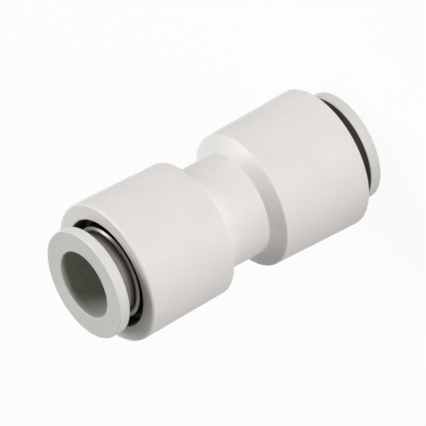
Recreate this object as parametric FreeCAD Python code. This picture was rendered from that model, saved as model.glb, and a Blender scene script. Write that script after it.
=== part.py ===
import FreeCAD, Part
import math
import os

# Straight push-in fitting (tube union) for 8 mm tube, in millimetres.
# It stands on end b: +Z is the tube axis, z = 0 is the flat face of the lower release collar,
# and the axis of the tube runs through the origin.
# Across the axis, each piece is built outwards from the tube, wall by wall.
# Along the axis, each end is a stack, measured by its depth below the body's end face.

# Tube that the fitting takes
TUBE_OD = 8.0

# Release collar, one at each end
COLLAR_CLEARANCE = 0.10      # radial, tube in collar
COLLAR_WALL = 0.85
COLLAR_MOUTH_BEVEL = 0.15
FLANGE_WIDTH = 1.65          # radial, from the neck to the rim
FLANGE_THICKNESS = 1.4
FLANGE_FRONT_BEVEL = 0.12
FLANGE_BACK_BEVEL = 0.2
RELEASE_GAP = 1.8            # flange to body when no one presses the collar
CATCH_HEIGHT = 0.35          # radial, how far the catch stands out of the neck
CATCH_LAND = 0.15
CATCH_LENGTH = 0.45
NOSE_WALL = 0.35             # wall left at the nose, inside its cone
NOSE_LEAD = 0.15

# Guide ring, pressed from steel sheet and driven into the body
GUIDE_SHEET = 0.55
GUIDE_RUNNING_FIT = 0.10     # radial, collar neck in guide ring
GUIDE_RECESS = 0.05          # rolled lip below the body's end face
GUIDE_LIP_LAND = 0.12        # radial, flat top of the lip; the rest of it slopes outwards at 45 degrees
GUIDE_SHOULDER_DEPTH = 1.6
GUIDE_BARBS = 3
GUIDE_BARB_HEIGHT = 0.13
GUIDE_PLAIN_BAND = 0.9       # between the shoulder and the first barb
MOUTH_GAP = 0.9              # radial, the dark ring between guide lip and body

# Chuck, a slit ring of spring steel whose claws hold the tube
CHUCK_SHEET = 0.3
CHUCK_ROOT_CLEARANCE = 0.2   # radial, collar neck to where the claws start
CLAW_BITE = 0.12             # radial, claw tips inside the tube's surface when no tube is in
CLAW_COUNT = 8
CLAW_ANGLE = 45.0            # degrees below the rim
CLAW_SLIT = 0.45
CLAW_SLIT_ROOT_R = 0.32      # round end of each slit

# Collet, the ring that backs the chuck
COLLET_RUNNING_FIT = 0.10    # radial, in the body
COLLET_POCKET_CLEARANCE = 0.05   # radial, beside the open claws
COLLET_BORE_CLEARANCE = 0.2  # radial, tube in collet
COLLET_FLOOR = 0.8
COLLET_BEVEL = 0.2
COLLET_LEAD = 0.35
NOSE_TO_FLOOR = 0.2          # room below the nose when the collar is pressed

# Seal, a rubber lip seal
SEAL_STEP = 0.4              # radial, from the mouth bore in to the seal's groove
SEAL_SQUEEZE = 0.10          # radial, lip inside the tube's surface when no tube is in
SEAL_WIDTH = 2.1
SEAL_HEEL_CLEARANCE = 0.5    # radial, tube to the seal's heel
SEAL_LIP_DEPTH = 0.75
SEAL_NOTCH_DEPTH = 0.9
SEAL_BEVEL = 0.15

# Body, one moulding: two barrels, a waist, and a wall in the middle that both tubes stop against
BODY_LENGTH = 31.4
BARREL_WALL = 2.0            # at the mouth
BARREL_TAPER = 0.3           # radial, from the mouth end down to the shoulder
BARREL_END_FILLET = 0.5
MOUTH_EDGE_BEVEL = 0.2
TUBE_SEAT_CLEARANCE = 0.05   # radial, tube in seat
TUBE_SEAT_LEAD = 0.35
STOP_WALL = 2.0
PASSAGE_BORE = 6.0
WAIST_WALL = 2.2
SHOULDER_WALL = 2.7          # from the seal's groove down to the waist
SHOULDER_RISE = 1.05         # how far each shoulder's cone leans away from the waist

# Clearances along the axis
STOP_CLEARANCE = 0.05        # between pieces that slide or turn on each other
CLAW_CLEARANCE = 0.12        # collar nose to claws at rest
SEAL_FLOAT = 0.05

# Radii, outwards from the tube
TUBE_R = TUBE_OD / 2
CLAW_TIP_R = TUBE_R - CLAW_BITE
SEAL_LIP_R = TUBE_R - SEAL_SQUEEZE
TUBE_SEAT_R = TUBE_R + TUBE_SEAT_CLEARANCE
WAIST_R = TUBE_SEAT_R + WAIST_WALL
COLLAR_BORE_R = TUBE_R + COLLAR_CLEARANCE
NOSE_R = COLLAR_BORE_R + NOSE_WALL
NECK_R = COLLAR_BORE_R + COLLAR_WALL
CATCH_R = NECK_R + CATCH_HEIGHT
FLANGE_R = NECK_R + FLANGE_WIDTH
GUIDE_BORE_R = NECK_R + GUIDE_RUNNING_FIT
GUIDE_TUBE_R = GUIDE_BORE_R + GUIDE_SHEET
MOUTH_R = GUIDE_TUBE_R + MOUTH_GAP
BARREL_END_R = MOUTH_R + BARREL_WALL
BARREL_SHOULDER_R = BARREL_END_R - BARREL_TAPER
CHUCK_ROOT_R = NECK_R + CHUCK_ROOT_CLEARANCE
COLLET_POCKET_R = CHUCK_ROOT_R + CHUCK_SHEET + COLLET_POCKET_CLEARANCE
COLLET_BORE_R = TUBE_R + COLLET_BORE_CLEARANCE
COLLET_R = MOUTH_R - COLLET_RUNNING_FIT
GROOVE_R = MOUTH_R - SEAL_STEP

# Depths below the body's end face, from the mouth to the middle
RELEASE_TRAVEL = RELEASE_GAP + GUIDE_RECESS - STOP_CLEARANCE
CLAW_SLOPE = math.tan(math.radians(CLAW_ANGLE))
CATCH_DEPTH = GUIDE_SHOULDER_DEPTH + GUIDE_SHEET + STOP_CLEARANCE
GUIDE_END_DEPTH = CATCH_DEPTH + CATCH_LENGTH + RELEASE_TRAVEL + STOP_CLEARANCE
CHUCK_DEPTH = GUIDE_END_DEPTH + STOP_CLEARANCE
NOSE_DEPTH = CHUCK_DEPTH + (CHUCK_ROOT_R - NOSE_R) * CLAW_SLOPE - CLAW_CLEARANCE
COLLET_DEPTH = CHUCK_DEPTH + CHUCK_SHEET
COLLET_FLOOR_DEPTH = NOSE_DEPTH + RELEASE_TRAVEL + NOSE_TO_FLOOR
COLLET_END_DEPTH = COLLET_FLOOR_DEPTH + COLLET_FLOOR
GROOVE_DEPTH = COLLET_END_DEPTH + STOP_CLEARANCE
SEAL_DEPTH = GROOVE_DEPTH + SEAL_FLOAT
GROOVE_END_DEPTH = SEAL_DEPTH + SEAL_WIDTH + SEAL_FLOAT
WAIST_DEPTH = GROOVE_END_DEPTH + SHOULDER_WALL
TUBE_STOP_DEPTH = (BODY_LENGTH - STOP_WALL) / 2
TUBE_SEAT_LENGTH = TUBE_STOP_DEPTH - GROOVE_END_DEPTH

# Heights above the face that the fitting stands on
END_FACE_Z = FLANGE_THICKNESS + RELEASE_GAP + BODY_LENGTH
OVERALL_LENGTH = END_FACE_Z + RELEASE_GAP + FLANGE_THICKNESS
MIDDLE_Z = OVERALL_LENGTH / 2


def below_end(depth):
    """Height of a place that lies this deep below the upper end face of the body."""
    return END_FACE_Z - depth


def sharp(r, z):
    """Corner of a profile with no rounding."""
    return (r, z, 0, False)


def round_off(r, z, radius):
    """Corner of a profile with a fillet of this radius."""
    return (r, z, radius, True)


def bevel(r, z, setback):
    """Corner of a profile cut off flat, this far back along both sides."""
    return (r, z, setback, False)


def profile_wire(corners):
    """Closed wire in the XZ plane through the corners, with tangent arcs and bevels where they ask."""
    count = len(corners)
    ends = []
    edges_at_corner = []
    for i in range(count):
        r, z, size, is_round = corners[i]
        corner = FreeCAD.Vector(r, 0, z)
        to_before = FreeCAD.Vector(corners[i - 1][0], 0, corners[i - 1][1]) - corner
        after = corners[(i + 1) % count]
        to_after = FreeCAD.Vector(after[0], 0, after[1]) - corner
        if size <= 0:
            ends.append((corner, corner))
            edges_at_corner.append(None)
            continue
        half_angle = to_before.getAngle(to_after) / 2
        wall = 0.48 * min(to_before.Length, to_after.Length)
        to_before.normalize()
        to_after.normalize()
        setback = min(size / math.tan(half_angle) if is_round else size, wall)
        first = corner + to_before * setback
        last = corner + to_after * setback
        ends.append((first, last))
        if is_round:
            radius = setback * math.tan(half_angle)
            bisector = to_before + to_after
            bisector.normalize()
            apex = corner + bisector * (radius / math.sin(half_angle) - radius)
            edges_at_corner.append(Part.Arc(first, apex, last).toShape())
        else:
            edges_at_corner.append(Part.LineSegment(first, last).toShape())
    edges = []
    for i in range(count):
        if edges_at_corner[i] is not None:
            edges.append(edges_at_corner[i])
        leave = ends[i][1]
        arrive = ends[(i + 1) % count][0]
        if leave.distanceToPoint(arrive) > 1e-6:
            edges.append(Part.LineSegment(leave, arrive).toShape())
    return Part.Wire(edges)


def turned(corners):
    """Solid of revolution about the tube axis."""
    face = Part.Face(profile_wire(corners))
    return face.revolve(FreeCAD.Vector(0, 0, 0), FreeCAD.Vector(0, 0, 1), 360)


def body():
    """Body: two barrels that lean out a little towards their ends, coned shoulders and a waist.

    Inside, each end steps down from the mouth to the seal's groove, the tube seat and the stop.
    """
    upper = [
        sharp(WAIST_R, below_end(WAIST_DEPTH)),
        sharp(BARREL_SHOULDER_R, below_end(WAIST_DEPTH - SHOULDER_RISE)),
        round_off(BARREL_END_R, END_FACE_Z, BARREL_END_FILLET),
        bevel(MOUTH_R, END_FACE_Z, MOUTH_EDGE_BEVEL),
        sharp(MOUTH_R, below_end(GROOVE_DEPTH)),
        sharp(GROOVE_R, below_end(GROOVE_DEPTH)),
        sharp(GROOVE_R, below_end(GROOVE_END_DEPTH)),
        bevel(TUBE_SEAT_R, below_end(GROOVE_END_DEPTH), TUBE_SEAT_LEAD),
        sharp(TUBE_SEAT_R, below_end(TUBE_STOP_DEPTH)),
        sharp(PASSAGE_BORE / 2, below_end(TUBE_STOP_DEPTH)),
    ]
    lower = [(r, 2 * MIDDLE_Z - z, size, is_round) for r, z, size, is_round in reversed(upper)]
    return turned(upper + lower)


def release_collar():
    """Release collar: a flange to press, a neck that slides in the guide ring, a catch and a nose."""
    back_z = OVERALL_LENGTH - FLANGE_THICKNESS
    catch_z = below_end(CATCH_DEPTH)
    nose_z = below_end(NOSE_DEPTH)
    return turned([
        bevel(COLLAR_BORE_R, OVERALL_LENGTH, COLLAR_MOUTH_BEVEL),
        bevel(FLANGE_R, OVERALL_LENGTH, FLANGE_FRONT_BEVEL),
        bevel(FLANGE_R, back_z, FLANGE_BACK_BEVEL),
        sharp(NECK_R, back_z),
        sharp(NECK_R, catch_z),
        sharp(CATCH_R, catch_z),
        sharp(CATCH_R, catch_z - CATCH_LAND),
        sharp(NECK_R, catch_z - CATCH_LENGTH),
        sharp(NECK_R, nose_z + (NECK_R - NOSE_R) * CLAW_SLOPE),
        sharp(NOSE_R, nose_z),
        bevel(COLLAR_BORE_R, nose_z, NOSE_LEAD),
    ])


def guide_ring():
    """Guide ring: a rolled lip and tube around the collar, a shoulder, and a barbed skirt in the body."""
    lip_z = below_end(GUIDE_RECESS)
    shoulder_z = below_end(GUIDE_SHOULDER_DEPTH)
    under_z = shoulder_z - GUIDE_SHEET
    end_z = below_end(GUIDE_END_DEPTH)
    barb_root_r = MOUTH_R - GUIDE_BARB_HEIGHT
    pitch = (shoulder_z - GUIDE_PLAIN_BAND - end_z) / GUIDE_BARBS
    corners = [
        sharp(GUIDE_BORE_R, lip_z),
        sharp(GUIDE_BORE_R + GUIDE_LIP_LAND, lip_z),
        sharp(GUIDE_TUBE_R, lip_z - (GUIDE_SHEET - GUIDE_LIP_LAND)),
        sharp(GUIDE_TUBE_R, shoulder_z),
        sharp(MOUTH_R, shoulder_z),
    ]
    for i in range(GUIDE_BARBS):
        barb_z = end_z + pitch * (GUIDE_BARBS - i)
        corners.append(sharp(MOUTH_R, barb_z))
        corners.append(sharp(barb_root_r, barb_z))
    corners += [
        sharp(barb_root_r, end_z),
        sharp(MOUTH_R - GUIDE_SHEET, end_z),
        sharp(MOUTH_R - GUIDE_SHEET, under_z),
        sharp(GUIDE_BORE_R, under_z),
    ]
    return turned(corners)


def chuck():
    """Chuck: a flat rim with a dished ring of claws, slit from the tips to a round root."""
    top_z = below_end(CHUCK_DEPTH)
    tip_z = top_z - (CHUCK_ROOT_R - CLAW_TIP_R) * CLAW_SLOPE
    across = CHUCK_SHEET * math.sin(math.radians(CLAW_ANGLE))
    down = CHUCK_SHEET * math.cos(math.radians(CLAW_ANGLE))
    mitre = CHUCK_SHEET * math.tan(math.radians(CLAW_ANGLE / 2))
    ring = turned([
        sharp(COLLET_R, top_z),
        sharp(CHUCK_ROOT_R, top_z),
        sharp(CLAW_TIP_R, tip_z),
        sharp(CLAW_TIP_R + across, tip_z - down),
        sharp(CHUCK_ROOT_R + mitre, top_z - CHUCK_SHEET),
        sharp(COLLET_R, top_z - CHUCK_SHEET),
    ])
    cut_z = tip_z - 2 * CHUCK_SHEET
    cut_depth = top_z + CHUCK_SHEET - cut_z
    slit_root = CHUCK_ROOT_R - CLAW_SLIT_ROOT_R
    for i in range(CLAW_COUNT):
        slit = Part.makeBox(slit_root, CLAW_SLIT, cut_depth)
        slit.translate(FreeCAD.Vector(0, -CLAW_SLIT / 2, cut_z))
        root = Part.makeCylinder(CLAW_SLIT_ROOT_R, cut_depth)
        root.translate(FreeCAD.Vector(slit_root, 0, cut_z))
        cutter = slit.fuse(root)
        cutter.rotate(FreeCAD.Vector(0, 0, 0), FreeCAD.Vector(0, 0, 1), (i + 0.5) * 360 / CLAW_COUNT)
        ring = ring.cut(cutter)
    return ring.Solids[0]


def collet():
    """Collet: a cup ring that backs the chuck's rim and leaves its claws room to open."""
    floor_z = below_end(COLLET_FLOOR_DEPTH)
    end_z = below_end(COLLET_END_DEPTH)
    return turned([
        sharp(COLLET_R, below_end(COLLET_DEPTH)),
        sharp(COLLET_POCKET_R, below_end(COLLET_DEPTH)),
        bevel(COLLET_POCKET_R, floor_z, COLLET_BEVEL),
        bevel(COLLET_BORE_R, floor_z, COLLET_LEAD),
        sharp(COLLET_BORE_R, end_z),
        bevel(COLLET_R, end_z, COLLET_BEVEL),
    ])


def seal():
    """Seal: a heel that fills the groove and a lip that leans inwards, with a notch behind it."""
    top_z = below_end(SEAL_DEPTH)
    end_z = top_z - SEAL_WIDTH
    notch_r = (SEAL_LIP_R + GROOVE_R) / 2
    return turned([
        sharp(GROOVE_R, top_z),
        sharp(TUBE_R + SEAL_HEEL_CLEARANCE, top_z),
        bevel(SEAL_LIP_R, top_z - SEAL_LIP_DEPTH, SEAL_BEVEL),
        sharp(SEAL_LIP_R + SEAL_BEVEL, end_z),
        sharp(notch_r - SEAL_BEVEL, end_z),
        sharp(notch_r, end_z + SEAL_NOTCH_DEPTH),
        sharp(notch_r + SEAL_BEVEL, end_z),
        sharp(GROOVE_R, end_z),
    ])


def turned_over(shape):
    """The same piece at the lower end, turned over about the middle of the fitting."""
    copy = shape.copy()
    copy.rotate(FreeCAD.Vector(0, 0, MIDDLE_Z), FreeCAD.Vector(1, 0, 0), 180)
    return copy


def main():
    os.makedirs("parts", exist_ok=True)
    pieces = {"body": body()}
    for name, make in (
        ("release_collar", release_collar),
        ("guide_ring", guide_ring),
        ("chuck", chuck),
        ("collet", collet),
        ("seal", seal),
    ):
        upper = make()
        pieces[name + "_a"] = upper
        pieces[name + "_b"] = turned_over(upper)
    for node, shape in pieces.items():
        shape.exportStep("parts/" + node + ".step")
        print(node, "valid", shape.isValid(), "solids", len(shape.Solids), "volume %.3f" % shape.Volume)
    print("overall length %.3f, body length %.3f" % (OVERALL_LENGTH, BODY_LENGTH))
    print("release travel %.3f, tube seat length %.3f" % (RELEASE_TRAVEL, TUBE_SEAT_LENGTH))


main()
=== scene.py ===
import math

import bpy
from mathutils import Matrix, Vector


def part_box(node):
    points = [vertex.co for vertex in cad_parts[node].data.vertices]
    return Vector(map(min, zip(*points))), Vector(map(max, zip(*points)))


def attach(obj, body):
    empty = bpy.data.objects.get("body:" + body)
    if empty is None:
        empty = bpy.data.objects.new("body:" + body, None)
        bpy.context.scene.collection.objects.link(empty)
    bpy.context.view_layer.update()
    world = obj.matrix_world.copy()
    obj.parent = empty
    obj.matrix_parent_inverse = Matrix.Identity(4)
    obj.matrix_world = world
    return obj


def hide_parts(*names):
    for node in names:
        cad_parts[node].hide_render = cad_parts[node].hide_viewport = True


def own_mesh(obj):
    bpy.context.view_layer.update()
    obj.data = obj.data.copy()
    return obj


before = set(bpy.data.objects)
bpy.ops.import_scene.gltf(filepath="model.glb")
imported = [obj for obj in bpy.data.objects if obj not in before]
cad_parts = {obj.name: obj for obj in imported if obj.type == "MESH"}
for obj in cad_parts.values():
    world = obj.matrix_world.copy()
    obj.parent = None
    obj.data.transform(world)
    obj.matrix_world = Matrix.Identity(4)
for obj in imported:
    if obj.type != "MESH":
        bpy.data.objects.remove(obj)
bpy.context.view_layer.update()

# Straight push-in fitting for 8 mm tube. Units are metres; +Z is the tube axis, up from end b to end a.
# The body, the collars and the guide rings get finely turned pieces with their small roundings.
# Each chuck gets a rim and claws of its own, because its claws open when the collar is pressed.
# The collets and seals inside keep their solids and get their materials.

MM = 0.001

# Sizes across the axis
NECK_R = 4.95 * MM
COLLAR_BORE_R = 4.1 * MM
CATCH_R = 5.3 * MM
NOSE_R = 4.45 * MM
GUIDE_BORE_R = 5.05 * MM
GUIDE_SHEET = 0.55 * MM
GUIDE_LIP_LAND = 0.30 * MM
GUIDE_LIP_DROP = 0.25 * MM
GUIDE_BARB_HEIGHT = 0.13 * MM
BARREL_END_R = 8.5 * MM
BARREL_SHOULDER_R = 8.2 * MM
WAIST_R = 6.25 * MM
GROOVE_R = 6.1 * MM
TUBE_SEAT_R = 4.05 * MM
PASSAGE_R = 3.0 * MM
MOUTH_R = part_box("guide_ring_a")[1][0]
FLANGE_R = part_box("release_collar_a")[1][0]

# Heights, and depths below the body's end face
TOP_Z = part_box("release_collar_a")[1][2]
MIDDLE_Z = TOP_Z / 2
END_FACE_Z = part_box("body")[1][2]
NOSE_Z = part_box("release_collar_a")[0][2]
GUIDE_LIP_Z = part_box("guide_ring_a")[1][2]
GUIDE_END_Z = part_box("guide_ring_a")[0][2]
CHUCK_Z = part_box("chuck_a")[1][2]
SEAT_WALL_Z = MIDDLE_Z + 1.0 * MM
FLANGE_THICKNESS = 1.4 * MM
CATCH_DEPTH = 2.2 * MM
CATCH_LAND = 0.15 * MM
CATCH_LENGTH = 0.45 * MM
GUIDE_SHOULDER_DEPTH = 1.6 * MM
GUIDE_PLAIN_BAND = 0.9 * MM
GUIDE_BARBS = 3
GROOVE_DEPTH = 7.98 * MM
GROOVE_END_DEPTH = 10.18 * MM
WAIST_DEPTH = 12.88 * MM
SHOULDER_RISE = 1.05 * MM

# Roundings that the light picks out. None takes more than this share of the shorter side at its corner.
ROUND_SHARE = 0.48
BARREL_END_ROUND = 0.3 * MM
BARREL_EDGE_ROUND = 0.25 * MM
MOUTH_ROUND = 0.2 * MM
WAIST_ROUND = 0.15 * MM
FLANGE_FRONT_ROUND = 0.12 * MM
FLANGE_BACK_ROUND = 0.2 * MM
COLLAR_MOUTH_ROUND = 0.15 * MM
GUIDE_BEND = 0.25 * MM
GUIDE_LIP_ROUND = 0.08 * MM
SMALL_LEAD = 0.15 * MM
SEAT_LEAD = 0.35 * MM

# Chuck: its rim is flat and its claws lean inwards.
CHUCK_RIM_R = 6.4 * MM
CHUCK_ROOT_R = 5.15 * MM
CHUCK_SHEET = 0.3 * MM
CLAW_COUNT = 8
CLAW_TIP_R = 3.88 * MM
CLAW_ANGLE = math.radians(45)
CLAW_SLIT = 0.45 * MM
CLAW_SLIT_ROOT_R = 0.32 * MM

# How finely the pieces are made
TURN_STEPS = 256
ARC_STEP = math.radians(9)
FEWEST_ARC_STEPS = 3
CLAW_STEPS_ALONG = 24
CLAW_STEPS_ACROSS = 8
CLAW_SHARP_ANGLE = math.radians(30)

# Colours. Where there are two, the material has clouds of both.
WHITE = ((0.755, 0.752, 0.742), (0.785, 0.782, 0.774))
# Painted shade: dull brown on the body's mouth walls, which lie in shadow inside the gap
MOUTH_PAINTED_SHADE = (0.10, 0.085, 0.07)
PALE_GREY = ((0.64, 0.648, 0.61), (0.685, 0.695, 0.652))
# Painted shade: the collar's neck and flange back, dull grey where the flange shades them
NECK_PAINTED_SHADE = (0.27, 0.25, 0.235)
# Painted shade: the flange's back face, dark brown where the body shadows it
FLANGE_BACK_PAINTED_SHADE = (0.13, 0.10, 0.08)
# Painted shade: the neck darkest beside the guide ring, down in the gap
DEEP_NECK_PAINTED_SHADE = (0.07, 0.063, 0.057)
# Painted shade: the collar's bore darker deep inside
DEEP_BORE_PAINTED_SHADE = (0.50, 0.52, 0.46)
# Painted light: the flange's rim lighter than its face, where the light falls on it
RIM_PAINTED_LIGHT = (0.735, 0.758, 0.74)
COLLET_GREY = ((0.12, 0.125, 0.12), (0.16, 0.165, 0.16))
LIP_STEEL = (0.19, 0.182, 0.17)
# Painted shade: the guide ring's steel dark below the lip, down in the gap
STEEL_PAINTED_SHADE = (0.05, 0.045, 0.04)
SPRING_STEEL = (0.55, 0.53, 0.50)
STEEL_CLOUD_SHARE = 0.9
RUBBER = ((0.014, 0.014, 0.014), (0.03, 0.03, 0.029))
RUBBER_PLAIN = (0.02, 0.02, 0.02)

# Stretches in which one colour goes over into another: from the axis, or along it from the middle
MOUTH_PAINTED_SHADE_EDGE = (MOUTH_R + 0.08 * MM, MOUTH_R + 0.18 * MM)
BARREL_INSIDE = (4 * MM, 5 * MM)
FLANGE_BACK = TOP_Z - FLANGE_THICKNESS - MIDDLE_Z
FLANGE_BACK_EDGE = (FLANGE_BACK, FLANGE_BACK + 0.05 * MM)
FLANGE_BACK_PAINTED_SHADE_EDGE = (NECK_R + 0.1 * MM, NECK_R + 0.3 * MM)
DEEP_NECK_EDGE = (FLANGE_BACK - 1.6 * MM, FLANGE_BACK - 1.2 * MM)
BORE_EDGE = (COLLAR_BORE_R + 0.02 * MM, COLLAR_BORE_R + 0.08 * MM)
DEEP_BORE_EDGE = (TOP_Z - MIDDLE_Z - 0.9 * MM, TOP_Z - MIDDLE_Z - 0.1 * MM)
RIM_EDGE = (FLANGE_R - 0.10 * MM, FLANGE_R - 0.04 * MM)
LIP_EDGE = (GUIDE_LIP_Z - MIDDLE_Z - 0.42 * MM, GUIDE_LIP_Z - MIDDLE_Z - 0.25 * MM)

# Camera, as the photograph was taken: a long lens, a little above the floor, rolled on its side
PHOTO_PIXELS = 426
MM_PER_PIXEL = 0.1128
DISTANCE_PIXELS = 8000
OBJECT_AT = (215.0, 214.4)
ELEVATION = math.radians(28.22)
AXIS_TILT = math.radians(28.33)
SENSOR_WIDTH_MM = 36

# Lamps, world and floor
LAMP_DISTANCE = 0.45
WORLD_STRENGTH = 0.06
FLOOR_HALF = 3.0
FLOOR_WHITE_SHARE = 0.94


def rounded_corner(corner, before, after):
    """Where a corner's rounding starts, where it ends, and the short stretches between the two."""
    here = Vector(corner[:2])
    to_before = Vector(before[:2]) - here
    to_after = Vector(after[:2]) - here
    size = corner[2]
    if not size:
        return here, here, []
    turn = to_before.angle(to_after)
    limit = ROUND_SHARE * min(to_before.length, to_after.length)
    setback = min(size / math.tan(turn / 2), limit)
    radius = setback * math.tan(turn / 2)
    entry = here + to_before.normalized() * setback
    leave = here + to_after.normalized() * setback
    inwards = (to_before.normalized() + to_after.normalized()).normalized()
    centre = here + inwards * math.hypot(setback, radius)
    outwards = 1 if to_before.cross(to_after) < 0 else -1
    start = (entry - centre).angle_signed(Vector((1, 0)))
    sweep = (leave - centre).angle_signed(entry - centre)
    steps = max(FEWEST_ARC_STEPS, math.ceil((math.pi - turn) / ARC_STEP))
    ways = []
    for k in range(steps + 1):
        angle = start + sweep * k / steps
        ways.append(Vector((math.cos(angle), math.sin(angle))))
    arc = []
    for a, b in zip(ways, ways[1:]):
        arc.append((centre + a * radius, centre + b * radius, a * outwards, b * outwards))
    return entry, leave, arc


def runs_clockwise(corners):
    area = 0
    for i, (r, z, _) in enumerate(corners):
        area += corners[i - 1][0] * z - r * corners[i - 1][1]
    return area < 0


def round_profile(corners):
    """Stretches of a closed outline: (start, end, normal at the start, normal at the end)."""
    if runs_clockwise(corners):
        corners = corners[::-1]
    count = len(corners)
    rounded = []
    for i in range(count):
        rounded.append(rounded_corner(corners[i], corners[i - 1], corners[(i + 1) % count]))
    stretches = []
    for i, (_, start, arc) in enumerate(rounded):
        end = rounded[(i + 1) % count][0]
        along = (end - start).normalized()
        normal = Vector((along.y, -along.x))
        stretches += arc
        stretches.append((start, end, normal, normal))
    return stretches


def add_object(name, mesh):
    thing = bpy.data.objects.new(name, mesh)
    bpy.context.scene.collection.objects.link(thing)
    return thing


def turned(name, corners):
    """A piece turned about Z from an outline of (radius, height, rounding), with exact normals."""
    stretches = round_profile(corners)
    rings = len(stretches)
    verts = []
    for start, _, _, _ in stretches:
        for k in range(TURN_STEPS):
            angle = 2 * math.pi * k / TURN_STEPS
            verts.append((start.x * math.cos(angle), start.x * math.sin(angle), start.y))
    faces = []
    normals = []
    for i, (_, _, first, last) in enumerate(stretches):
        low = i * TURN_STEPS
        high = (i + 1) % rings * TURN_STEPS
        for k in range(TURN_STEPS):
            after = (k + 1) % TURN_STEPS
            here = 2 * math.pi * k / TURN_STEPS
            onward = 2 * math.pi * (k + 1) / TURN_STEPS
            faces.append((low + k, low + after, high + after, high + k))
            for normal, angle in ((first, here), (first, onward), (last, onward), (last, here)):
                normals.append((normal.x * math.cos(angle), normal.x * math.sin(angle), normal.y))
    mesh = bpy.data.meshes.new(name)
    mesh.from_pydata(verts, [], faces)
    mesh.update()
    mesh.shade_smooth()
    mesh.normals_split_custom_set(normals)
    return add_object(name, mesh)


def turned_over(corners):
    """The same outline at the lower end."""
    return [(r, TOP_Z - z, size) for r, z, size in reversed(corners)]


def below_end(depth):
    return END_FACE_Z - depth


def body_outline():
    upper = [
        (WAIST_R, below_end(WAIST_DEPTH), WAIST_ROUND),
        (BARREL_SHOULDER_R, below_end(WAIST_DEPTH - SHOULDER_RISE), BARREL_EDGE_ROUND),
        (BARREL_END_R, END_FACE_Z, BARREL_END_ROUND),
        (MOUTH_R, END_FACE_Z, MOUTH_ROUND),
        (MOUTH_R, below_end(GROOVE_DEPTH), 0),
        (GROOVE_R, below_end(GROOVE_DEPTH), 0),
        (GROOVE_R, below_end(GROOVE_END_DEPTH), 0),
        (TUBE_SEAT_R + SEAT_LEAD, below_end(GROOVE_END_DEPTH), 0),
        (TUBE_SEAT_R, below_end(GROOVE_END_DEPTH + SEAT_LEAD), 0),
        (TUBE_SEAT_R, SEAT_WALL_Z, 0),
        (PASSAGE_R, SEAT_WALL_Z, 0),
    ]
    return upper + turned_over(upper)


def collar_outline():
    back_z = TOP_Z - FLANGE_THICKNESS
    catch_z = below_end(CATCH_DEPTH)
    return [
        (COLLAR_BORE_R, TOP_Z, COLLAR_MOUTH_ROUND),
        (FLANGE_R, TOP_Z, FLANGE_FRONT_ROUND),
        (FLANGE_R, back_z, FLANGE_BACK_ROUND),
        (NECK_R, back_z, 0),
        (NECK_R, catch_z, 0),
        (CATCH_R, catch_z, 0),
        (CATCH_R, catch_z - CATCH_LAND, 0),
        (NECK_R, catch_z - CATCH_LENGTH, 0),
        (NECK_R, NOSE_Z + NECK_R - NOSE_R, 0),
        (NOSE_R, NOSE_Z, 0),
        (COLLAR_BORE_R + SMALL_LEAD, NOSE_Z, 0),
        (COLLAR_BORE_R, NOSE_Z + SMALL_LEAD, 0),
    ]


def guide_outline():
    shoulder_z = below_end(GUIDE_SHOULDER_DEPTH)
    under_z = shoulder_z - GUIDE_SHEET
    barb_root_r = MOUTH_R - GUIDE_BARB_HEIGHT
    pitch = (shoulder_z - GUIDE_PLAIN_BAND - GUIDE_END_Z) / GUIDE_BARBS
    corners = [
        (GUIDE_BORE_R, GUIDE_LIP_Z, GUIDE_LIP_ROUND),
        (GUIDE_BORE_R + GUIDE_LIP_LAND, GUIDE_LIP_Z, GUIDE_LIP_ROUND),
        (GUIDE_BORE_R + GUIDE_SHEET, GUIDE_LIP_Z - GUIDE_LIP_DROP, GUIDE_LIP_ROUND),
        (GUIDE_BORE_R + GUIDE_SHEET, shoulder_z, GUIDE_BEND),
        (MOUTH_R, shoulder_z, GUIDE_BEND),
    ]
    for i in range(GUIDE_BARBS):
        barb_z = GUIDE_END_Z + pitch * (GUIDE_BARBS - i)
        corners.append((MOUTH_R, barb_z, 0))
        corners.append((barb_root_r, barb_z, 0))
    corners += [
        (barb_root_r, GUIDE_END_Z, 0),
        (MOUTH_R - GUIDE_SHEET, GUIDE_END_Z, 0),
        (MOUTH_R - GUIDE_SHEET, under_z, GUIDE_BEND),
        (GUIDE_BORE_R, under_z, 0),
    ]
    return corners


def chuck_corners():
    """A claw's tip and root as (radius, height), on the sheet's upper side and on its lower one."""
    across = CHUCK_SHEET * math.sin(CLAW_ANGLE)
    down = CHUCK_SHEET * math.cos(CLAW_ANGLE)
    mitre = CHUCK_SHEET * math.tan(CLAW_ANGLE / 2)
    tip_z = CHUCK_Z - (CHUCK_ROOT_R - CLAW_TIP_R) * math.tan(CLAW_ANGLE)
    above = ((CLAW_TIP_R, tip_z), (CHUCK_ROOT_R, CHUCK_Z))
    below = ((CLAW_TIP_R + across, tip_z - down), (CHUCK_ROOT_R + mitre, CHUCK_Z - CHUCK_SHEET))
    return above, below


def chuck_rim_outline():
    (_, root_above), (_, root_below) = chuck_corners()
    return [
        (CHUCK_RIM_R, CHUCK_Z, 0),
        (*root_above, 0),
        (*root_below, 0),
        (CHUCK_RIM_R, CHUCK_Z - CHUCK_SHEET, 0),
    ]


def half_slit(radius):
    """Half the width of the slit between two claws at a radius. It ends in a round hole at the root."""
    from_hole = radius - (CHUCK_ROOT_R - CLAW_SLIT_ROOT_R)
    hole = math.sqrt(max(0, CLAW_SLIT_ROOT_R ** 2 - from_hole ** 2))
    return hole if from_hole > 0 else max(hole, CLAW_SLIT / 2)


def claw_row(radius, height, facing):
    """Points across a claw at one radius, from slit to slit."""
    reach = math.pi / CLAW_COUNT - math.asin(half_slit(radius) / radius)
    row = []
    for k in range(CLAW_STEPS_ACROSS + 1):
        angle = facing + reach * (2 * k / CLAW_STEPS_ACROSS - 1)
        row.append((radius * math.cos(angle), radius * math.sin(angle), height))
    return row


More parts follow.
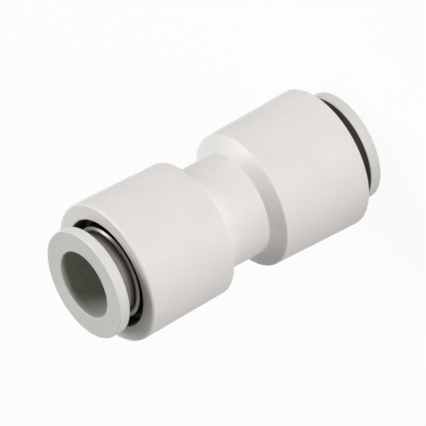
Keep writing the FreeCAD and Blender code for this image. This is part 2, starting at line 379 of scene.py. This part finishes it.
def claw(name, facing, over):
    """One claw of the chuck, between two slits. The angle facing points at its middle."""
    sides = []
    for (tip_r, tip_z), (root_r, root_z) in chuck_corners():
        rows = []
        for i in range(CLAW_STEPS_ALONG + 1):
            share = math.sin(math.pi / 2 * i / CLAW_STEPS_ALONG)
            radius = tip_r + (root_r - tip_r) * share
            height = tip_z + (root_z - tip_z) * share
            rows.append(claw_row(radius, TOP_Z - height if over else height, facing))
        sides.append(rows)
    above, below = sides
    loop = above + below[::-1]
    width = CLAW_STEPS_ACROSS + 1
    faces = []
    for i in range(len(loop)):
        here = i * width
        after = (i + 1) % len(loop) * width
        for k in range(CLAW_STEPS_ACROSS):
            faces.append((here + k, after + k, after + k + 1, here + k + 1))
    for i in range(CLAW_STEPS_ALONG):
        rows = (i, i + 1, len(loop) - 2 - i, len(loop) - 1 - i)
        faces.append([row * width for row in reversed(rows)])
        faces.append([row * width + CLAW_STEPS_ACROSS for row in rows])
    if over:
        faces = [face[::-1] for face in faces]
    mesh = bpy.data.meshes.new(name)
    mesh.from_pydata([point for row in loop for point in row], [], faces)
    mesh.update()
    mesh.shade_smooth()
    mesh.set_sharp_from_angle(angle=CLAW_SHARP_ANGLE)
    return add_object(name, mesh)


class Material:
    """A node material with its Principled shader, and short calls for the texture nodes it needs."""

    def __init__(self, name, colour, **sockets):
        self.material = bpy.data.materials.new(name)
        self.material.use_nodes = True
        self.nodes = self.material.node_tree.nodes
        self.links = self.material.node_tree.links
        self.shader = self.nodes["Principled BSDF"]
        self.shader.inputs["Base Color"].default_value = (*colour, 1)
        self.colour = None
        for socket, value in sockets.items():
            self.shader.inputs[socket].default_value = value
        self.place = self.nodes.new("ShaderNodeTexCoord").outputs["Object"]

    def stretched(self, scale):
        """The place on the object with each axis scaled, so that grain can run along one of them."""
        mapping = self.nodes.new("ShaderNodeMapping")
        mapping.inputs["Scale"].default_value = scale
        self.links.new(self.place, mapping.inputs["Vector"])
        return mapping.outputs["Vector"]

    def noise(self, grain, detail=3.0, roughness=0.5, place=None):
        """Noise whose features are about grain metres across."""
        node = self.nodes.new("ShaderNodeTexNoise")
        node.inputs["Scale"].default_value = 1 / grain
        node.inputs["Detail"].default_value = detail
        node.inputs["Roughness"].default_value = roughness
        self.links.new(place or self.place, node.inputs["Vector"])
        return node.outputs["Fac"]

    def spread(self, value, low, high, start=0.3, end=0.7):
        """value between start and end becomes a number between low and high; the defaults suit noise."""
        node = self.nodes.new("ShaderNodeMapRange")
        node.inputs["From Min"].default_value = start
        node.inputs["From Max"].default_value = end
        node.inputs["To Min"].default_value = low
        node.inputs["To Max"].default_value = high
        self.links.new(value, node.inputs["Value"])
        return node.outputs["Result"]

    def below(self, value, edge):
        """1 where value is below the edge's two numbers, 0 above them."""
        return self.spread(value, 1, 0, *edge)

    def above(self, value, edge):
        """1 where value is above the edge's two numbers, 0 below them."""
        return self.spread(value, 0, 1, *edge)

    def both(self, one, other):
        """1 only where both values are 1."""
        node = self.nodes.new("ShaderNodeMath")
        node.operation = "MULTIPLY"
        self.links.new(one, node.inputs[0])
        self.links.new(other, node.inputs[1])
        return node.outputs["Value"]

    def colour_between(self, value, dark, light):
        """A base colour that goes from dark to light with value."""
        node = self.mix_colour(value, light)
        node.inputs["A"].default_value = (*dark, 1)

    def mix_colour(self, value, other):
        """The base colour so far goes over to another one where value is 1."""
        node = self.nodes.new("ShaderNodeMix")
        node.data_type = "RGBA"
        node.inputs["B"].default_value = (*other, 1)
        self.links.new(value, node.inputs["Factor"])
        if self.colour:
            self.links.new(self.colour, node.inputs["A"])
        self.colour = node.outputs["Result"]
        self.links.new(self.colour, self.shader.inputs["Base Color"])
        return node

    def from_axis(self):
        """Distance from the tube axis."""
        flat = self.nodes.new("ShaderNodeVectorMath")
        flat.operation = "MULTIPLY"
        flat.inputs[1].default_value = (1, 1, 0)
        self.links.new(self.place, flat.inputs[0])
        length = self.nodes.new("ShaderNodeVectorMath")
        length.operation = "LENGTH"
        self.links.new(flat.outputs["Vector"], length.inputs[0])
        return length.outputs["Value"]

    def from_middle(self):
        """Distance along the axis from the middle of the fitting, alike at both ends."""
        split = self.nodes.new("ShaderNodeSeparateXYZ")
        self.links.new(self.place, split.inputs["Vector"])
        centred = self.nodes.new("ShaderNodeMath")
        centred.operation = "SUBTRACT"
        centred.inputs[1].default_value = MIDDLE_Z
        self.links.new(split.outputs["Z"], centred.inputs[0])
        size = self.nodes.new("ShaderNodeMath")
        size.operation = "ABSOLUTE"
        self.links.new(centred.outputs["Value"], size.inputs[0])
        return size.outputs["Value"]

    def rough_between(self, value, low, high):
        self.links.new(self.spread(value, low, high), self.shader.inputs["Roughness"])

    def bump(self, height, depth):
        """Bumps of that depth in metres."""
        node = self.nodes.new("ShaderNodeBump")
        node.inputs["Distance"].default_value = depth
        self.links.new(height, node.inputs["Height"])
        self.links.new(node.outputs["Normal"], self.shader.inputs["Normal"])


def moulded_plastic(name, colours, grain, depth, rough):
    """Moulded plastic: faint flow clouds in its colour, a fine spark-eroded grain and uneven gloss."""
    dark, light = colours
    plastic = Material(name, light, IOR=1.5)
    clouds = plastic.noise(4 * MM, 2.0)
    plastic.colour_between(plastic.spread(clouds, 0, 1), dark, light)
    plastic.rough_between(plastic.noise(1.2 * MM, 4.0), *rough)
    plastic.bump(plastic.noise(grain, 2.0, 0.4), depth)
    return plastic


def white_plastic():
    """White, with painted shade: dull brown inside the mouths."""
    white = moulded_plastic("white_plastic", WHITE, 0.12 * MM, 0.003 * MM, (0.40, 0.48))
    inside = white.below(white.from_axis(), MOUTH_PAINTED_SHADE_EDGE)
    in_barrel = white.above(white.from_middle(), BARREL_INSIDE)
    white.mix_colour(white.both(inside, in_barrel), MOUTH_PAINTED_SHADE)
    return white.material


def grey_plastic():
    """Pale grey, with painted shade in the bore, on the back and the neck, darkest beside the guide
    ring, and a painted lighter rim.
    """
    grey = moulded_plastic("pale_grey_plastic", PALE_GREY, 0.10 * MM, 0.003 * MM, (0.36, 0.45))
    height = grey.from_middle()
    radius = grey.from_axis()
    under_flange = grey.below(height, FLANGE_BACK_EDGE)
    grey.mix_colour(under_flange, NECK_PAINTED_SHADE)
    off_neck = grey.above(radius, FLANGE_BACK_PAINTED_SHADE_EDGE)
    grey.mix_colour(grey.both(off_neck, under_flange), FLANGE_BACK_PAINTED_SHADE)
    grey.mix_colour(grey.below(height, DEEP_NECK_EDGE), DEEP_NECK_PAINTED_SHADE)
    in_bore = grey.below(radius, BORE_EDGE)
    deep = grey.below(height, DEEP_BORE_EDGE)
    grey.mix_colour(grey.both(in_bore, deep), DEEP_BORE_PAINTED_SHADE)
    grey.mix_colour(grey.above(radius, RIM_EDGE), RIM_PAINTED_LIGHT)
    return grey.material


def dark_plastic():
    dark = moulded_plastic("grey_collet_plastic", COLLET_GREY, 0.1 * MM, 0.004 * MM, (0.45, 0.6))
    return dark.material


def turned_steel(name, colour, rough):
    """Bright sheet steel with fine lines round the axis and a little uneven gloss."""
    steel = Material(name, colour, Metallic=1.0)
    lines = steel.noise(0.05 * MM, 3.0, 0.6, steel.stretched((0.04, 0.04, 1)))
    clouds = steel.spread(steel.noise(0.8 * MM, 3.0), 0, 1)
    steel.rough_between(lines, *rough)
    steel.colour_between(clouds, [c * STEEL_CLOUD_SHARE for c in colour], colour)
    steel.bump(lines, 0.0006 * MM)
    return steel


def bright_steel():
    """The guide ring's steel: bright on the lip, with painted shade below it, where the ring goes down
    into the gap.
    """
    steel = turned_steel("bright_steel", LIP_STEEL, (0.34, 0.40))
    steel.mix_colour(steel.below(steel.from_middle(), LIP_EDGE), STEEL_PAINTED_SHADE)
    return steel.material


def spring_steel():
    return turned_steel("spring_steel", SPRING_STEEL, (0.25, 0.40)).material


def black_rubber():
    """Nitrile rubber: matt, with a fine powdery grain."""
    rubber = Material("black_rubber", RUBBER_PLAIN, IOR=1.5)
    clouds = rubber.noise(0.4 * MM, 4.0)
    rubber.colour_between(rubber.spread(clouds, 0, 1), *RUBBER)
    rubber.rough_between(rubber.noise(0.3 * MM, 4.0), 0.5, 0.7)
    rubber.bump(rubber.noise(0.05 * MM, 3.0), 0.004 * MM)
    return rubber.material


def dress(thing, material):
    thing.data.materials.clear()
    thing.data.materials.append(material)


def dress_solid(node, material):
    """Gives a CAD solid a finish through its object's own slots, so that its mesh stays as it is."""
    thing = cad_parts[node]
    for slot in thing.material_slots:
        slot.link = "OBJECT"
        slot.material = material


def add_piece(piece, node, body, material):
    dress(piece, material)
    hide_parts(node)
    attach(piece, body)


def add_chuck(end, over, material):
    """The rim and the claws, each claw a piece of its own."""
    rim = turned_over(chuck_rim_outline()) if over else chuck_rim_outline()
    pieces = [turned("chuck_rim_" + end, rim)]
    for i in range(CLAW_COUNT):
        facing = 2 * math.pi * i / CLAW_COUNT
        piece = claw("claw_%s_%d" % (end, i + 1), facing, over)
        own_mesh(piece)
        pieces.append(piece)
    for piece in pieces:
        add_piece(piece, "chuck_" + end, "grip_" + end, material)


def add_pieces():
    white = white_plastic()
    grey = grey_plastic()
    dark = dark_plastic()
    bright = bright_steel()
    spring = spring_steel()
    rubber = black_rubber()
    add_piece(turned("body_moulding", body_outline()), "body", "body", white)
    for end, over in (("a", False), ("b", True)):
        collar = turned_over(collar_outline()) if over else collar_outline()
        guide = turned_over(guide_outline()) if over else guide_outline()
        moulding = turned("collar_moulding_" + end, collar)
        sheet = turned("guide_sheet_" + end, guide)
        add_piece(moulding, "release_collar_" + end, "release_" + end, grey)
        add_piece(sheet, "guide_ring_" + end, "body", bright)
        add_chuck(end, over, spring)
        dress_solid("collet_" + end, dark)
        dress_solid("seal_" + end, rubber)


def camera_axes():
    """Right, up and back of a camera that looks along +Y and down, and leans as in the photograph."""
    forward = Vector((0, math.cos(ELEVATION), -math.sin(ELEVATION)))
    along = Vector((0, math.sin(ELEVATION), math.cos(ELEVATION)))
    across = Vector((1, 0, 0))
    right = -math.cos(AXIS_TILT) * along - math.sin(AXIS_TILT) * across
    up = -math.sin(AXIS_TILT) * along + math.cos(AXIS_TILT) * across
    return right, up, -forward


def add_camera():
    data = bpy.data.cameras.new("camera")
    data.sensor_width = SENSOR_WIDTH_MM
    data.lens = DISTANCE_PIXELS / PHOTO_PIXELS * SENSOR_WIDTH_MM
    data.clip_start = 0.05
    data.clip_end = 20
    camera = add_object("camera", data)
    right, up, back = camera_axes()
    pixel = MM_PER_PIXEL * MM
    off_x = (OBJECT_AT[0] - PHOTO_PIXELS / 2) * pixel
    off_y = (OBJECT_AT[1] - PHOTO_PIXELS / 2) * pixel
    middle = Vector((0, 0, MIDDLE_Z))
    camera.location = middle + back * DISTANCE_PIXELS * pixel - right * off_x + up * off_y
    camera.rotation_euler = Matrix((right, up, back)).transposed().to_euler()
    bpy.context.scene.camera = camera


def add_lamp(name, azimuth, elevation, size, power, colour):
    """A round soft lamp that looks at the fitting. Azimuth runs from +X towards +Y, in degrees."""
    around = math.radians(azimuth)
    above = math.radians(elevation)
    level = math.cos(above)
    way = Vector((math.cos(around) * level, math.sin(around) * level, math.sin(above)))
    data = bpy.data.lights.new(name, "AREA")
    data.shape = "DISK"
    data.size = size
    data.energy = power
    data.color = colour
    lamp = add_object(name, data)
    lamp.location = Vector((0, 0, MIDDLE_Z)) + way * LAMP_DISTANCE
    lamp.rotation_euler = way.to_track_quat("Z", "Y").to_euler()


def add_lamps():
    """The fitting's upper side in the photograph faces +X, and the camera stands at azimuth -90."""
    add_lamp("front", -105, 2, 0.10, 1.42, (1.0, 0.945, 0.905))
    add_lamp("side", -25, 8, 0.15, 0.22, (1.0, 0.97, 0.95))
    add_lamp("above", 10, 40, 0.17, 0.72, (1.0, 0.98, 0.96))
    add_lamp("above_far", 30, 60, 0.18, 0.66, (1.0, 0.99, 0.99))
    add_lamp("top", 0, 85, 0.18, 0.15, (1.0, 0.90, 0.78))
    add_lamp("behind", 98, 8, 0.18, 0.14, (1.0, 1.0, 1.0))


def seen_or_mirrored(nodes, links, share):
    """share for a camera, glossy or transmission ray, else 0."""
    path = nodes.new("ShaderNodeLightPath")
    seen = path.outputs["Is Camera Ray"]
    for other in ("Is Glossy Ray", "Is Transmission Ray"):
        add = nodes.new("ShaderNodeMath")
        add.operation = "ADD"
        add.use_clamp = True
        links.new(seen, add.inputs[0])
        links.new(path.outputs[other], add.inputs[1])
        seen = add.outputs[0]
    part = nodes.new("ShaderNodeMath")
    part.operation = "MULTIPLY"
    part.inputs[1].default_value = share
    links.new(seen, part.inputs[0])
    return part.outputs[0]


def mix_shaders(nodes, links, share, one, other):
    """Shader one, which goes over to the other where share is 1."""
    mix = nodes.new("ShaderNodeMixShader")
    links.new(share, mix.inputs[0])
    links.new(one.outputs[0], mix.inputs[1])
    links.new(other.outputs[0], mix.inputs[2])
    return mix.outputs[0]


def add_world():
    """Faint light from all round, and white where it is seen or mirrored."""
    world = bpy.data.worlds.new("studio")
    world.use_nodes = True
    nodes = world.node_tree.nodes
    links = world.node_tree.links
    light = nodes["Background"]
    light.inputs["Color"].default_value = (1, 1, 1, 1)
    light.inputs["Strength"].default_value = WORLD_STRENGTH
    white = nodes.new("ShaderNodeBackground")
    white.inputs["Color"].default_value = (1, 1, 1, 1)
    white.inputs["Strength"].default_value = 1
    seen = seen_or_mirrored(nodes, links, 1.0)
    surface = mix_shaders(nodes, links, seen, light, white)
    links.new(surface, nodes["World Output"].inputs["Surface"])
    bpy.context.scene.world = world


def floor_material():
    """A pale matt floor that keeps shadows, and is nearly white where it is seen or mirrored."""
    material = bpy.data.materials.new("floor")
    material.use_nodes = True
    nodes = material.node_tree.nodes
    links = material.node_tree.links
    shader = nodes["Principled BSDF"]
    shader.inputs["Base Color"].default_value = (0.8, 0.8, 0.8, 1)
    shader.inputs["Roughness"].default_value = 0.9
    white = nodes.new("ShaderNodeEmission")
    seen = seen_or_mirrored(nodes, links, FLOOR_WHITE_SHARE)
    surface = mix_shaders(nodes, links, seen, shader, white)
    links.new(surface, nodes["Material Output"].inputs["Surface"])
    return material


def add_floor():
    """The floor that the lower collar stands on."""
    corners = [(-FLOOR_HALF, -FLOOR_HALF, 0), (FLOOR_HALF, -FLOOR_HALF, 0)]
    corners += [(FLOOR_HALF, FLOOR_HALF, 0), (-FLOOR_HALF, FLOOR_HALF, 0)]
    mesh = bpy.data.meshes.new("floor")
    mesh.from_pydata(corners, [], [(0, 1, 2, 3)])
    floor = add_object("floor", mesh)
    dress(floor, floor_material())


bpy.context.scene.view_settings.view_transform = "Standard"
add_camera()
add_lamps()
add_world()
add_floor()
add_pieces()
